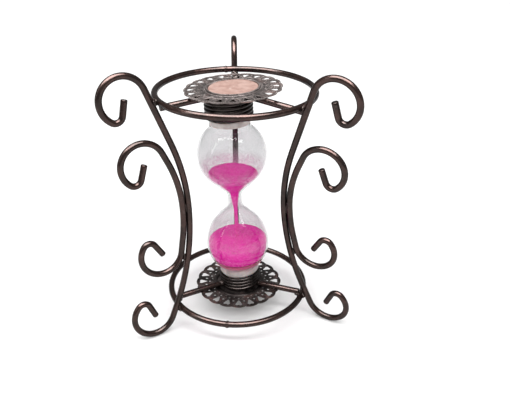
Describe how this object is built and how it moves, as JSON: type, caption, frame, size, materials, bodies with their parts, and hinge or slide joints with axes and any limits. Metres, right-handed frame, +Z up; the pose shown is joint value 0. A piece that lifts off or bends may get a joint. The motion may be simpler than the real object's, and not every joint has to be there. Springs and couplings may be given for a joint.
{
  "type": "hourglass",
  "caption": "Small hourglass: glass vial of pink sand between wire coil cups and filigree caps in a round stand of scrolled iron legs.",
  "frame": {"origin": "on the table, under the common axis of the two wire rings", "axes": "+Z up along the axis of the rings, front towards -Y with one leg to the left, one to the right and one behind"},
  "size_m": [0.1121, 0.1021, 0.1325],
  "materials": {
    "stand_metal": "dark antique bronze lacquer over iron wire, glossy",
    "coil_metal": "darker antique bronze lacquer over soft iron wire",
    "antique_filigree": "stamped filigree with a grey-brown antique finish, worn at the edges",
    "copper_medallion": "thin pale copper plating, slightly brushed",
    "weld_metal": "weld and solder beads under the same dark lacquer",
    "vial_glass": "clear blown glass",
    "frosted_plug": "translucent milky plug",
    "pink_sand": "fine dyed sand, matt"
  },
  "bodies": {
    "stand": {"top_ring": "stand_metal", "bottom_ring": "stand_metal", "leg_scroll_left": "stand_metal", "leg_scroll_right": "stand_metal", "leg_scroll_rear": "stand_metal", "side_scroll_left": "stand_metal", "side_scroll_right": "stand_metal", "side_scroll_rear": "stand_metal", "top_spoke_left": "stand_metal", "top_spoke_right": "stand_metal", "top_spoke_rear": "stand_metal", "bottom_spoke_left": "stand_metal", "bottom_spoke_right": "stand_metal", "bottom_spoke_rear": "stand_metal", "top_coil_cup": "coil_metal", "bottom_coil_cup": "coil_metal", "top_filigree_cap": "antique_filigree", "top_medallion": "copper_medallion", "top_rope_edge": "antique_filigree", "top_solder_bead": "weld_metal", "bottom_filigree_cap": "antique_filigree", "bottom_collar": "antique_filigree", "top_weld_beads": "weld_metal", "bottom_weld_beads": "weld_metal", "scroll_tack_welds": "weld_metal"},
    "vial": {"glass_vial": "vial_glass", "top_plug": "frosted_plug", "bottom_plug": "frosted_plug", "upper_sand": "pink_sand", "sand_stream": "pink_sand", "lower_sand": "pink_sand"}
  },
  "joints": [
    {"name": "vial_spin", "type": "hinge", "parent": "stand", "child": "vial", "pos_m": [0, 0, 0.043], "axis": [-0.0488, 0, 0.9988], "continuous": true}
  ]
}
